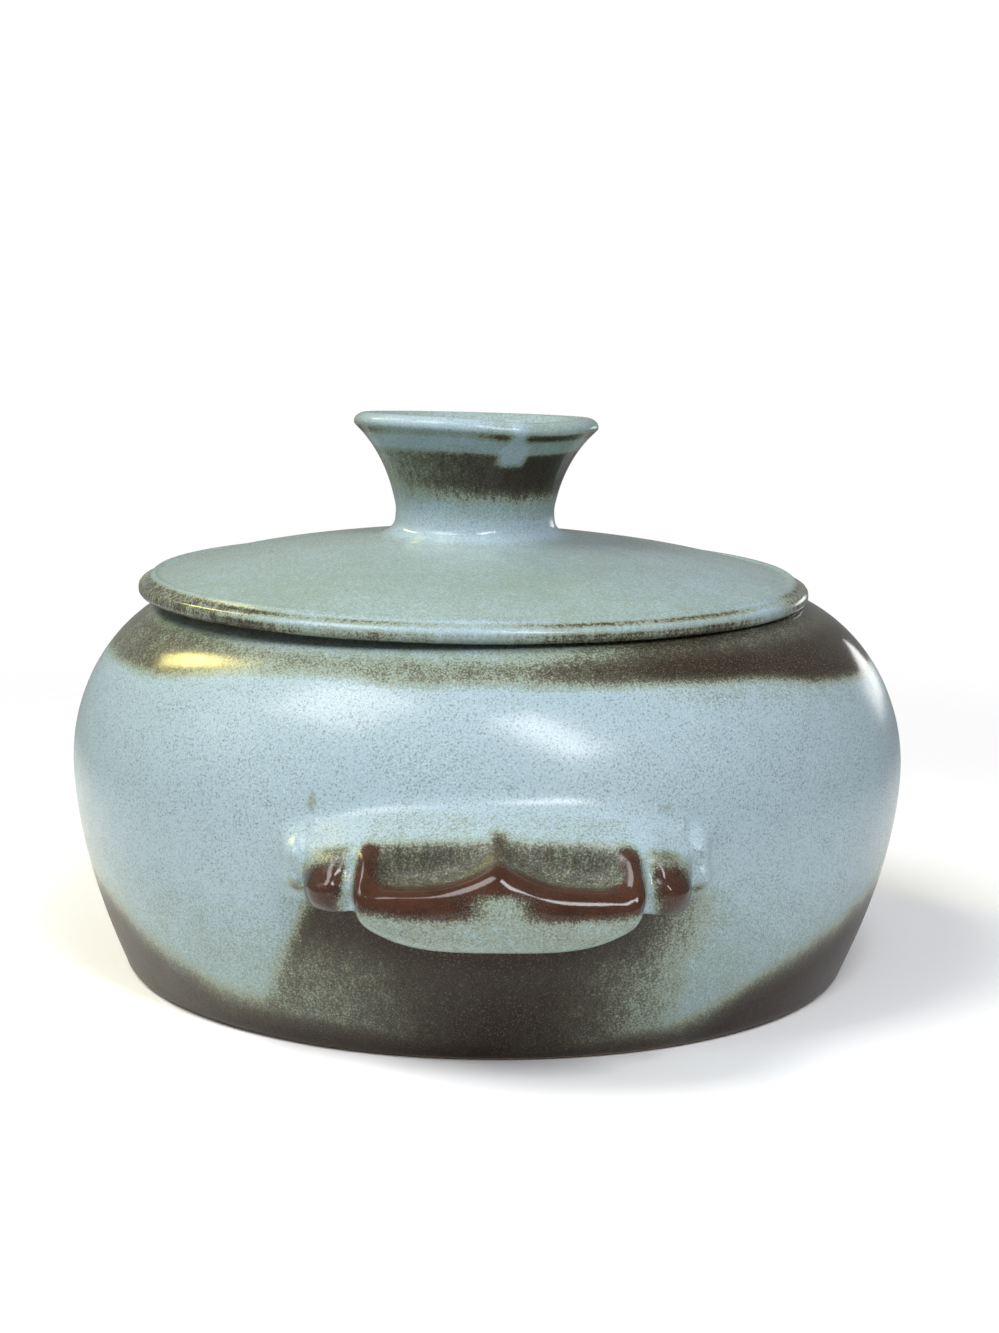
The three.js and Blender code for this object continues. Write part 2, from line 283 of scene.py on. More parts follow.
def lug_section(angle):
    """The bowl's wall at an angle, led out round the lug: distance from the wall, height, and the
    station along the line, which is 5 at the lug's bottom edge, 9 on its ridge and 12 at the land's edge."""
    a = abs(angle)
    out = LUG_REACH * lug_share(angle)
    lobe_start = BLOCK_ANGLE + GROOVE_ANGLE
    on_block = 1 - float(step(a, BLOCK_ANGLE - 2, BLOCK_ANGLE))
    point = math.exp(-a / PEAK_SPREAD)
    spine = (point + math.exp(-((a / PEAK_SPREAD) ** 2))) / 2
    scoop = (1 - 0.9 * point) * (1 - float(step(a, BLOCK_ANGLE - 4, BLOCK_ANGLE - 1)))
    to_end = float(step(a, lobe_start, LUG_HALF_ANGLE))
    top = LUG_TOP - LAND_FALL * (a / LUG_HALF_ANGLE) ** 2
    edge_out = LAND_REACH * (1 - 0.4 * to_end)
    edge_z = top - LAND_DROP
    ridge_out = 0.85 * out
    ridge_z = mix(edge_z - 5.5, RIDGE_HEIGHT + RIDGE_ROLL * (1 - spine) + PEAK_RISE * spine, on_block)
    bottom = LUG_BOTTOM + CORNER_RISE * min(a / BLOCK_ANGLE, 1.0) ** 4
    sink = mix(-0.8, SCOOP_DEPTH, scoop)

    def across(share):
        deep = sink * (1.15 - 0.75 * max(0.0, share - 0.33))
        return mix(edge_out, ridge_out, share) - 0.55 * deep, mix(edge_z, ridge_z, share) - 0.83 * deep

    def down(share):
        return mix(ridge_z, bottom, share)

    line = [
        (0.0, DETOUR_LOW), (0.0, mix(DETOUR_LOW, bottom, 0.6)), (0.3, bottom + 4.0),
        (0.25 * out, bottom + 4.4), (0.52 * out, bottom + 1.2), (0.77 * out, bottom),
        (0.92 * out, down(0.84)), (out, down(0.5)),
        (0.975 * out, down(0.2)), (ridge_out, ridge_z), across(0.67), across(0.33), (edge_out, edge_z),
        (0.82 * edge_out, mix(top, edge_z, 0.8)), (0.5 * edge_out, mix(top, edge_z, 0.45)),
        (0.12 * edge_out, mix(top, edge_z, 0.06)), (0.0, mix(top, DETOUR_HIGH, 0.6)), (0.0, DETOUR_HIGH),
    ]
    section = through([(*spot, station) for station, spot in enumerate(line)], LUG_ROWS)
    height = np.linspace(DETOUR_LOW, DETOUR_HIGH, LUG_ROWS)
    plain = np.column_stack([smear(angle, height), height, np.full(LUG_ROWS, WALL_STATION)])
    smeared = np.where(section[:, 2] > LAND_STATION, smear(angle, section[:, 1]), 0)
    section[:, 0] = np.maximum(section[:, 0], smeared)
    blend = 1 - step(a, LUG_HALF_ANGLE - 0.6, LUG_HALF_ANGLE + LUG_FADE_ANGLE)
    return mix(plain, section, blend), float(blend)


def lug_tints(angle, station, z):
    """How thin the glaze lies along a section of the lug, and how red it breaks there."""
    a = abs(angle)
    lobe_start = BLOCK_ANGLE + GROOVE_ANGLE
    in_groove = float(hump(a, BLOCK_ANGLE + 0.5 * GROOVE_ANGLE, 0.65))
    on_lobe = float(step(a, lobe_start - 0.2, lobe_start + 0.6))
    lobe_end = float(step(a, lobe_start + 1.8, LUG_HALF_ANGLE - 0.4))
    frame_side = float(step(a, BLOCK_ANGLE - 2.9, BLOCK_ANGLE - 1.5)) * (1 - on_lobe)
    thin = np.interp(station, *LUG_THIN)
    border = RED_BORDER + 1.5 * (a / BLOCK_ANGLE) ** 4
    patch = hump(a, 0, 2.9) * (1 - step(z, 50.0, 53.5))
    band = step(z, border - 1.3, border + 1.3) * step(station, 5.5, 6) * (1 - step(station, 9.5, 10.3))
    thin = np.maximum(thin, (0.97 - 0.66 * patch) * band)
    red = band * (1 - patch)
    beside = frame_side * step(station, 8.5, 9.5) * (1 - step(station, 11.9, 12.3))
    thin = np.maximum(thin, 0.93 * beside)
    red = np.maximum(red, 0.85 * beside)
    spine = float(hump(a, 0, 1.5)) * step(station, 9.4, 10) * (1 - step(station, 11.8, 12.2))
    thin = mix(thin, 0.8, 0.9 * spine)
    red = np.maximum(red, 0.6 * spine)
    spike = float(hump(a, 0, 1.1)) * step(station, 11.5, 12) * (1 - step(station, 12.9, 13.4))
    thin = np.maximum(thin, 0.95 * spike)
    brown_lobe = np.interp(station, *LOBE_THIN)
    thin = mix(thin, brown_lobe - 0.38 * lobe_end * step(station, 8, 10), on_lobe)
    lobe_red = np.interp(station, *LOBE_RED) * (1 - 0.7 * lobe_end)
    red = mix(red, lobe_red, on_lobe)
    pale = in_groove * step(station, 4.6, 5.6)
    return thin * (1 - 0.95 * pale), red * (1 - pale)


def wall_thinness_and_shade(angle, z):
    """How thin the glaze lies on the plain wall, by the angle from the front (radians) and height, with
    painted shade added low on the wall and right under each lug; and how much that is peppered rather
    than soft."""
    turn = np.degrees(np.mod(angle + np.pi, 2 * np.pi) - np.pi)
    at_back = abs(turn) > 90
    a = np.degrees(np.mod(angle + np.pi / 2, np.pi) - np.pi / 2) * (-1 if at_back else 1)
    wave = 0.6 * math.sin(9 * angle + 0.6) + 0.4 * math.sin(17 * angle + 2.0)
    start = 40 if a < 0 else 27
    past = max(0.0, abs(a) - start)
    most = 90 - start
    foot_line = FOOT_LINE_LEFT if a < 0 else FOOT_LINE_RIGHT
    foot_edge = foot_line + wave + FOOT_CLIMB * (past - past ** 3 / (3 * most ** 2))
    foot = np.interp(a, *FOOT_THIN) * step(foot_edge - z, -8.0, 12.0)
    haze = 0.36 * float(step(abs(a), 46, 76)) * (1 - step(z, 26, 84))

    dark = np.interp(a, *SHOULDER_THIN)
    shoulder_edge = SHOULDER_LINE + 0.5 * wave - SHOULDER_SAG * float(step(abs(a), 26, 66))
    under_lid = 1 - (0.42 - 0.24 * float(step(a, -4, 26))) * step(z, 97.0, 100.5)
    shoulder = dark * step(z, shoulder_edge - 2.6, shoulder_edge + 2.6) * under_lid
    halo = 0.24 * step(z, shoulder_edge - 14, shoulder_edge - 1) * float(step(a, 2, 30))

    left_edge = SPRAY_EDGE - SPRAY_LEAN * (SPRAY_TOP - z) + wave
    spray_and_shade = np.interp(a, *SPRAY_THIN) * step(a - left_edge, -1.5, 3.5) * (1 - step(z, 42, 50))
    # Painted shade: right under each lug the sprayed patch is made darker still, where the lug overhangs the
    # wall
    spray_and_shade = np.minimum(1.0, spray_and_shade * (1 + 0.3 * step(z, 24, 36)))
    # Painted shade: darker and greener glaze low on the wall
    low = LOWER_WALL_SHADE * (1 - step(z, 22, 66))
    thin = np.maximum.reduce([foot, haze, shoulder, halo, spray_and_shade, low])
    peppered = np.where(np.maximum(foot, low) >= thin, 0.4, 1.0)
    return thin, peppered


def smooth_rows(grid, first, last, passes):
    """Softens a grid of rows and columns between two rows, along both ways."""
    for _ in range(passes):
        inside = grid[:, first:last]
        down = (grid[:, first - 1:last - 1] + 2 * inside + grid[:, first + 1:last + 1]) / 4
        grid[:, first:last] = (np.roll(down, 1, 0) + 2 * down + np.roll(down, -1, 0)) / 4
    return grid


def dish_angles():
    """Angles of the bowl's columns from the front, closest together across the lugs."""
    edge = LUG_HALF_ANGLE + SMEAR_ANGLE + 5.6
    lug = np.linspace(-edge, edge, LUG_COLUMNS)
    plain = np.linspace(edge, 180 - edge, PLAIN_COLUMNS)[1:-1]
    half = np.concatenate([lug, plain])
    return np.radians(np.concatenate([half, half + 180]))


def dish_mesh():
    """Columns of points of the bowl with its lugs, from under its middle round to the inside of its
    floor, and the values painted on them."""
    angles = dish_angles()
    under = np.vstack([
        np.column_stack([
            np.linspace(0.0, FOOT_INNER - 3, RECESS_ROWS), np.full(RECESS_ROWS, FOOT_RECESS),
        ]),
        [(FOOT_INNER - 1.2, 1.7), (FOOT_INNER - 0.2, 0.4), (FOOT_INNER + 0.8, 0.0)],
        [(mix(FOOT_INNER, FOOT_OUTER, 0.5), 0.0), (FOOT_OUTER - 1.0, 0.0), (FOOT_OUTER + 0.8, 0.25)],
        [(FOOT_OUTER + 2.2, 1.0), (HEEL_RADIUS - 0.5, 2.1)],
    ])
    lower_z = np.linspace(HEEL_HEIGHT, DETOUR_LOW, 22)[:-1]
    lower = np.column_stack([wall_radius(lower_z), lower_z])
    upper = shoulder_line(RIM_RADIUS, 0, 30)[1:]
    rim = np.array([
        (RIM_RADIUS - 1.0, RIM_HEIGHT), (RIM_RADIUS - 4.0, RIM_HEIGHT), (MOUTH_RADIUS + 2.6, RIM_HEIGHT),
        (MOUTH_RADIUS + 1.3, RIM_HEIGHT - 0.3), (MOUTH_RADIUS + 0.4, RIM_HEIGHT - 1.0),
        (MOUTH_RADIUS, RIM_HEIGHT - 2.0), (MOUTH_RADIUS, RIM_HEIGHT - 3.4),
    ])
    inner_shoulder = shoulder_line(MOUTH_RADIUS + 1, WALL, 16)[::-1]
    inner_z = np.linspace(DETOUR_HIGH - 3, FLOOR + 15, 16)
    inner_wall = np.column_stack([wall_radius(inner_z) - WALL, inner_z])
    floor_corner = through([
        tuple(inner_wall[-1]), (94.6, FLOOR + 5), (90.0, FLOOR + 1.2), (82.0, FLOOR),
    ], 10)[1:]
    floor = np.column_stack([np.linspace(76.0, 0.0, 10), np.full(10, FLOOR)])
    inside = np.vstack([rim, inner_shoulder, inner_wall, floor_corner, floor])

    first = len(under) + len(lower)
    last = first + LUG_ROWS
    rows = last + len(upper) + len(inside)
    grid = np.zeros((len(angles), rows, 2))
    tint = np.zeros((len(angles), rows, len(PAINTED)))
    for column, angle in enumerate(angles):
        from_lug = math.degrees((angle + math.pi / 2) % math.pi - math.pi / 2)
        section, blend = lug_section(from_lug)
        out, z = section[:, 0], section[:, 1]
        detour = np.column_stack([wall_radius(z) + out, z])
        grid[column] = np.vstack([under, lower, detour, upper, inside])
        thin, tint[column, :, PEPPERED] = wall_thinness_and_shade(angle, grid[column, :, 1])
        on_lug = blend * step(out, 0.2, 2.5)
        lug_thin, lug_red = lug_tints(from_lug, section[:, 2], z)
        thin[first:last] = mix(thin[first:last], lug_thin, on_lug)
        aside = abs(from_lug) - LUG_HALF_ANGLE
        # Dark marks just past the lug's ends: the low pair, at the foot of the smeared clay beside each
        # lobe, is painted shade in the crease; the high ones are cracks
        crack_and_crease_shade = 0.75 * hump(aside, 1.6, 1.3) * hump(z, 46.5, 2.2)
        if from_lug < 0:
            crack_and_crease_shade += 0.72 * hump(aside, 0.7, 0.5) * hump(z, 66.5, 3.0)
        else:
            crack_and_crease_shade += 0.6 * hump(aside, -1.8, 1.6) * hump(z, 66.0, 0.9)
        thin[first:last] = np.maximum(thin[first:last], crack_and_crease_shade)
        near_foot = 1 - step(grid[column, :, 1], 18, 40)
        tint[column, :, THIN_AND_PAINTED_LIGHT] = thin
        tint[column, first:last, RED] = lug_red * on_lug
        tint[column, first:last, PEPPERED] = np.maximum(tint[column, first:last, PEPPERED], on_lug)
        tint[column, :, SATIN] = np.maximum(shine_loss(thin), FOOT_SATIN * near_foot)
        in_scoop = on_lug * step(section[:, 2], 9.6, 10.2) * (1 - lug_red)
        tint[column, first:last, SATIN] = np.maximum(tint[column, first:last, SATIN], SCOOP_SATIN * in_scoop)
    grid = smooth_rows(grid, first - 2, last + 4, 3)
    tint = smooth_rows(tint, first - 2, last + 4, 2)
    rim_row = last + len(upper)
    tint[:, rim_row:, THIN_AND_PAINTED_LIGHT] = INSIDE_THIN
    tint[:, rim_row:, SATIN] = 1.0
    tint[:, RECESS_ROWS:len(under) - 2, BARE] = 1.0
    tint[:, rim_row:rim_row + 4, BARE] = 1.0
    tint[:, :RECESS_ROWS, THIN_AND_PAINTED_LIGHT] = RECESS_THIN

    sway = 0.35 * np.sin(2 * angles + 0.4) + 0.2 * np.sin(5 * angles + 1.3)
    lift = np.clip(grid[:, :, 1] / 30, 0, 1)
    radius = grid[:, :, 0] + sway[:, None] * lift * np.clip(grid[:, :, 0] / 60 - 0.4, 0, 1)
    x = radius * np.sin(angles)[:, None]
    y = -radius * np.cos(angles)[:, None]
    points = np.stack([x, y, grid[:, :, 1]], axis=2) * MM
    return points, tint


def grid_object(name, points, tint):
    """A mesh from columns of points that all start and end on the axis."""
    columns, rows = points.shape[:2]
    middle = points[:, 1:-1]
    corners = [tuple(points[0, 0]), tuple(points[0, -1])] + [tuple(p) for p in middle.reshape(-1, 3)]
    inner_rows = rows - 2
    faces = []
    for i in range(columns):
        j = (i + 1) % columns
        a, b = 2 + i * inner_rows, 2 + j * inner_rows
        faces.append((0, a, b))
        faces.append((1, b + inner_rows - 1, a + inner_rows - 1))
        for k in range(inner_rows - 1):
            faces.append((a + k, a + k + 1, b + k + 1, b + k))
    mesh = bpy.data.meshes.new(name)
    mesh.from_pydata(corners, [], faces)
    values = np.vstack([tint[0, 0], tint[0, -1], tint[:, 1:-1].reshape(-1, tint.shape[2])])
    for channel, label in enumerate(PAINTED):
        layer = mesh.attributes.new(label, "FLOAT", "POINT")
        layer.data.foreach_set("value", values[:, channel].astype(np.float32))
    mesh.polygons.foreach_set("use_smooth", [True] * len(mesh.polygons))
    mesh.update()
    obj = bpy.data.objects.new(name, mesh)
    bpy.context.scene.collection.objects.link(obj)
    return obj


# Node trees

class Socket:
    """An output of a node that takes part in Python sums."""

    def __init__(self, output):
        self.output = output
        self.tree = output.id_data

    def sum(self, operation, *values):
        return node(self.tree, "ShaderNodeMath", {"operation": operation}, dict(enumerate(values)))[0]

    def __add__(self, other):
        return self.sum("ADD", self, other)

    def __sub__(self, other):
        return self.sum("SUBTRACT", self, other)

    def __rsub__(self, other):
        return self.sum("SUBTRACT", other, self)

    def __mul__(self, other):
        return self.sum("MULTIPLY", self, other)

    def __truediv__(self, other):
        return self.sum("DIVIDE", self, other)

    __radd__ = __add__
    __rmul__ = __mul__

    def ramp(self, low, high):
        """Smooth rise from 0 at low to 1 at high."""
        settings = {"interpolation_type": "SMOOTHSTEP"}
        return node(self.tree, "ShaderNodeMapRange", settings, {0: self, 1: low, 2: high})[0]


def node(tree, kind, settings, inputs):
    """One node of any kind, with its settings first and then its sockets; returns its outputs."""
    made = tree.nodes.new(kind)
    for key, value in settings.items():
        if key == "stops":
            ramp = made.color_ramp
            while len(ramp.elements) < len(value):
                ramp.elements.new(0.5)
            for element, (place, colour) in zip(ramp.elements, value):
                element.position = place
                element.color = (*colour, 1.0)
        else:
            setattr(made, key, value)
    for key, value in inputs.items():
        if isinstance(value, Socket):
            tree.links.new(value.output, made.inputs[key])
        else:
            made.inputs[key].default_value = value
    return [Socket(output) for output in made.outputs]


def colour(red, green, blue):
    """A colour given as it looks on a screen, 0 to 255, turned into light."""
    shares = [value / 255 for value in (red, green, blue)]
    return tuple(s / 12.92 if s < 0.0404 else ((s + 0.055) / 1.055) ** 2.4 for s in shares)


PALE_BLUE = colour(146, 166, 174)
PALE_GREEN = colour(130, 148, 142)
YELLOW_GREEN = colour(128, 138, 121)
OLIVE = colour(92, 93, 75)
OLIVE_BROWN = colour(56, 50, 36)
BROWN = colour(36, 22, 11)
IRON_RED = colour(66, 42, 31)
PEPPER = colour(104, 115, 116)
MILK = colour(186, 203, 206)
CLAY = colour(172, 156, 134)


def glaze(name, seed, dark_share, streaks):
    """Blue-green glaze that breaks to olive and brown by the attribute of thin glaze, which also carries
    painted shade in places, and turns milky where that is below 0: a pool at the knob's foot that is partly
    a painted highlight. It breaks red on iron_red and leaves bare_clay dry. The attribute peppered makes an
    edge speckled rather than soft, and satin takes the shine down."""
    material = bpy.data.materials.new(name)
    material.use_nodes = True
    tree = material.node_tree
    tree.nodes.clear()
    place = node(tree, "ShaderNodeTexCoord", {}, {})[3]

    def painted(label):
        return node(tree, "ShaderNodeAttribute", {"attribute_name": label}, {})[2]

    def noise(scale, detail, offset, vector=place):
        """Cloudy values around 0."""
        settings = {"noise_dimensions": "4D"}
        inputs = {"Vector": vector, "W": seed + offset, "Scale": scale, "Detail": detail}
        return node(tree, "ShaderNodeTexNoise", settings, inputs)[0] - 0.5

    def blend(share, first, second):
        settings = {"data_type": "RGBA"}
        return node(tree, "ShaderNodeMix", settings, {0: share, 6: first, 7: second})[2]

    thin, red, clay, peppered, satin = (painted(label) for label in PAINTED)
    run = node(tree, "ShaderNodeMapping", {}, {0: place, 3: (1.0, 1.0, 0.2)})[0]
    cloud = noise(24.0, 2.0, 0.0)
    mottle = noise(160.0, 3.0, 3.0)
    streak = noise(700.0, 2.0, 7.0, run)
    grain = noise(1900.0, 1.5, 11.0)
    dust = noise(3400.0, 0.5, 17.0)

    edge = thin * (1.0 - thin) * 4.0 * peppered
    broken = thin + cloud * 0.14 + mottle * (0.08 + edge * 0.25)
    broken = broken + streak * (0.05 + edge * streaks)
    broken = broken + grain * (0.2 + edge * 0.65) + dust * (0.1 + edge * 0.35)
    stops = [
        (0.0, PALE_BLUE), (0.16, PALE_BLUE), (0.3, PALE_GREEN), (0.46, YELLOW_GREEN), (0.6, OLIVE),
        (0.76, OLIVE_BROWN), (0.95, BROWN),
    ]
    body = node(tree, "ShaderNodeValToRGB", {"stops": stops}, {0: broken})[0]
    fleck = (grain + dust * 0.5).ramp(0.02, 0.2) * thin.ramp(0.6, 0.95) * peppered * 0.5
    body = blend(fleck, body, (*OLIVE, 1.0))
    red_break = (red + grain * 0.9 + mottle * 0.5).ramp(0.42, 0.8)
    rust = blend((mottle + grain * 0.4).ramp(-0.1, 0.16) * 0.5, (*IRON_RED, 1.0), (*BROWN, 1.0))
    body = blend(red_break, body, rust)
    pepper = (grain + dust * 0.6 + mottle * 0.2).ramp(0.0, 0.24) * dark_share
    body = blend(pepper * (1.0 - thin), body, (*PEPPER, 1.0))
    milk = (dust - grain * 0.5 - cloud * 0.3).ramp(0.03, 0.2) * 0.4
    body = blend(milk * (1.0 - thin), body, (*MILK, 1.0))
    # Where the thinness is below 0 the glaze pools milky at the knob's foot; this pale ring is partly a
    # painted highlight
    milky_pool_and_highlight = (thin * -1.0).ramp(0.0, 0.45) * 0.8
    body = blend(milky_pool_and_highlight, body, (*MILK, 1.0))
    dry = (clay + grain * 0.5).ramp(0.4, 0.6)
    body = blend(dry, body, (*CLAY, 1.0))

    rough = 0.11 + satin * 0.12 + mottle * 0.06 + dry * 0.5
    skin = mottle * 0.3 + cloud * 1.0 + grain * 0.04 - broken * 0.1
    bump = node(tree, "ShaderNodeBump", {}, {"Strength": 0.3, "Distance": 0.0006, "Height": skin})[0]
    shader = node(tree, "ShaderNodeBsdfPrincipled", {}, {
        "Base Color": body, "Roughness": rough, "Normal": bump, "IOR": 1.42, "Specular IOR Level": 0.32,
    })[0]
    node(tree, "ShaderNodeOutputMaterial", {}, {0: shader})
    return material


# The lid's forms

SEAT_HEIGHT = RIM_HEIGHT + LID_GAP
EDGE_TOP = SEAT_HEIGHT + LID_EDGE
DOME_EDGE = LID_RADIUS - LID_EDGE_ROUNDING


def dome_height(radius):
    """Height of the lid's upper side at a radius."""
    out = np.minimum(np.asarray(radius, float) / DOME_EDGE, 1.0)
    return EDGE_TOP + DOME_RISE * (1 - out) + 4 * DOME_BULGE * out * (1 - out)


KNOB_FOOT = float(dome_height(KNOB_FOOT_RADIUS))
KNOB_TOP = KNOB_FOOT + LID_GAP + KNOB_HEIGHT


def lid_profile():
    """The lid's line from under its middle round to the bottom of the knob's hollow: radius, height,
    thin glaze, bare clay, and how far the point follows the lip's lean."""
    under_r = np.linspace(0.0, FLANGE_INNER - 1, 24)
    under = np.column_stack([under_r, dome_height(np.maximum(under_r, THROAT_RADIUS)) - LID_THICKNESS])
    flange_low = SEAT_HEIGHT - FLANGE_DEPTH
    flange = even(np.array([
        (FLANGE_INNER + 0.6, SEAT_HEIGHT + 1.0), (FLANGE_INNER, SEAT_HEIGHT - 1),
        (FLANGE_INNER + 0.2, flange_low + 1), (FLANGE_INNER + 1.2, flange_low),
        (FLANGE_OUTER - 1.2, flange_low), (FLANGE_OUTER - 0.2, flange_low + 1),
        (FLANGE_OUTER, SEAT_HEIGHT - 1.0), (FLANGE_OUTER + 1.0, SEAT_HEIGHT), (SEAT_EDGE - 2, SEAT_HEIGHT),
    ]), 40)
    middle = (SEAT_HEIGHT + EDGE_TOP) / 2
    edge = through([
        (SEAT_EDGE - 1.5, SEAT_HEIGHT), (SEAT_EDGE + 0.8, SEAT_HEIGHT + 0.2),
        (LID_RADIUS - 0.5, middle - 1.4), (LID_RADIUS, middle), (LID_RADIUS - 0.15, middle + 1.2),
        (LID_RADIUS - 0.9, EDGE_TOP - 0.7),
        (DOME_EDGE, EDGE_TOP + 0.05), (DOME_EDGE - 2, float(dome_height(DOME_EDGE - 2))),
    ], 44)
    dome_r = np.linspace(DOME_EDGE - 2.6, FILLET_RADIUS - 0.1, 60)
    dome = np.column_stack([dome_r, dome_height(dome_r)])
    foot = KNOB_FOOT
    lip_middle = KNOB_TOP - LIP_ROUNDING
    t = np.linspace(0.06, 0.94, 9)[:, None]
    throat = np.array([THROAT_RADIUS, foot + THROAT_HEIGHT])
    lip_side = np.array([LIP_RADIUS, lip_middle])
    pull_low = mix(throat, lip_side, np.array([0.1, 0.42]))
    pull_high = mix(throat, lip_side, np.array([0.48, 0.78]))
    flare = (1 - t)**3 * throat + 3 * t * (1 - t)**2 * pull_low
    flare = flare + 3 * t**2 * (1 - t) * pull_high + t**3 * lip_side
    knob = through([
        (FILLET_RADIUS, float(dome_height(FILLET_RADIUS))), *[(r, foot + up) for r, up in KNOB_FILLET],
        *flare, (LIP_RADIUS, lip_middle + 0.3),
        *[(LIP_RADIUS + out, KNOB_TOP + up) for out, up in LIP_LINE], (0.0, KNOB_TOP - CUP_DEPTH),
    ], 122)
    line = np.vstack([under, flange, edge, dome, knob])
    r, z = line.T
    order = np.arange(len(line))
    dome_start = len(under) + len(flange) + len(edge)
    knob_start = dome_start + len(dome)
    thin = np.full(len(line), DOME_THIN)
    on_edge = (order >= len(under) + len(flange)) & (order < knob_start)
    thin = np.where(on_edge, np.maximum(thin, 0.85 * hump(r, DOME_EDGE + 0.7, 0.9) * (z > middle)), thin)
    thin = np.where(on_edge & (z < middle + 0.5), 0.7, thin)
    on_knob = (order >= knob_start) & (np.gradient(z) > 0)
    up = z - foot
    waist = 0.95 * step(up, 4.5, 16.5) ** 1.2 * (1 - step(up, 23.2, 25.2))
    lip = 0.95 * hump(up, 28.7, 1.2)
    # Glaze pooled milky at the knob's foot, made paler as a painted highlight ring
    pool_and_highlight_ring = DOME_THIN - 0.75 * hump(up, 3.0, 1.6)
    thin = np.where(on_knob, np.maximum(np.maximum(waist, lip), pool_and_highlight_ring), thin)
    bare = ((order > len(under) + 26) & (order < len(under) + len(flange) + 4)).astype(float)
    lean = np.where(order >= knob_start, step(z, foot + 5, KNOB_TOP) * r / LIP_RADIUS, 0.0)
    droop_start = np.where(order < dome_start, SEAT_EDGE - 1, DROOP_START)
    line[:, 1] -= EDGE_DROOP * on_edge * np.clip((r - droop_start) / (DOME_EDGE - droop_start), 0, 1) ** 2
    return np.column_stack([line, thin, bare, lean])


def turning_tree():
    """A profile curve in the XZ plane turned about the Z axis, with a lip that leans and is pinched."""
    tree = bpy.data.node_groups.new("turned_on_the_wheel", "GeometryNodeTree")
    face = tree.interface
    face.new_socket("Profile", in_out="INPUT", socket_type="NodeSocketGeometry")
    sizes = {}
    for label, kind, value in (
        ("Columns", "NodeSocketInt", LID_COLUMNS), ("Rows", "NodeSocketInt", LID_ROWS),
        ("Lip Tilt", "NodeSocketFloat", LIP_TILT * MM), ("Tilt Angle", "NodeSocketFloat", LIP_TILT_ANGLE),
        ("Lip Pinch", "NodeSocketFloat", LIP_PINCH * MM),
        ("Pinch Angle", "NodeSocketFloat", LIP_PINCH_ANGLE),
        ("Pinch Spread", "NodeSocketFloat", LIP_PINCH_SPREAD),
        ("Glaze", "NodeSocketMaterial", None),
    ):
        sizes[label] = face.new_socket(label, in_out="INPUT", socket_type=kind)
        if value is not None:
            sizes[label].default_value = value
    face.new_socket("Turned", in_out="OUTPUT", socket_type="NodeSocketGeometry")

    given = node(tree, "NodeGroupInput", {}, {})
    profile, columns, rows, tilt, tilt_angle, pinch, pinch_angle, spread, cover = given[:9]
    line = node(tree, "GeometryNodeMeshToCurve", {}, {0: profile})[0]
    sheet = node(tree, "GeometryNodeMeshGrid", {}, {0: 1.0, 1: 1.0, 2: columns, 3: rows})[0]
    where = node(tree, "GeometryNodeInputPosition", {}, {})[0]
    across, along = node(tree, "ShaderNodeSeparateXYZ", {}, {0: where})[:2]
    factor = along + 0.5
    turn = (across + 0.5) * (2 * math.pi)

    def sample(label):
        value = node(tree, "GeometryNodeInputNamedAttribute", {"data_type": "FLOAT"}, {0: label})[0]
        settings = {"mode": "FACTOR", "use_all_curves": True, "data_type": "FLOAT"}
        inputs = {"Curves": line, "Value": value, "Factor": factor}
        return node(tree, "GeometryNodeSampleCurve", settings, inputs)

    thin, spot = sample("glaze_thin")[:2]
    radius, _, height = node(tree, "ShaderNodeSeparateXYZ", {}, {0: spot})[:3]
    lean = sample("lip_lean")[0]
    bare = sample("bare_clay")[0]
    x = radius * turn.sum("COSINE", turn)
    y = radius * turn.sum("SINE", turn)
    away = turn.sum("SINE", (turn - pinch_angle) * 0.5) / spread
    dip = pinch * away.sum("EXPONENT", away * away * -1.0)
    slope = tilt * turn.sum("COSINE", turn - tilt_angle)
    z = height + lean * (slope - dip)
    target = node(tree, "ShaderNodeCombineXYZ", {}, {0: x, 1: y, 2: z})[0]

    def keep(mesh, label, value):
        settings = {"data_type": "FLOAT", "domain": "POINT"}
        return node(tree, "GeometryNodeStoreNamedAttribute", settings, {0: mesh, 2: label, 3: value})[0]

    kept = keep(keep(sheet, "glaze_thin", thin), "bare_clay", bare)
    moved = node(tree, "GeometryNodeSetPosition", {}, {0: kept, 2: target})[0]
    closed = node(tree, "GeometryNodeMergeByDistance", {}, {0: moved, 2: 1e-6})[0]
    soft = node(tree, "GeometryNodeSetShadeSmooth", {}, {0: closed, 2: True})[0]
    real = node(tree, "GeometryNodeRealizeInstances", {}, {0: soft})[0]
    done = node(tree, "GeometryNodeSetMaterial", {}, {0: real, 2: cover})[0]
    node(tree, "NodeGroupOutput", {}, {0: done})
    return tree, {label: item.identifier for label, item in sizes.items()}


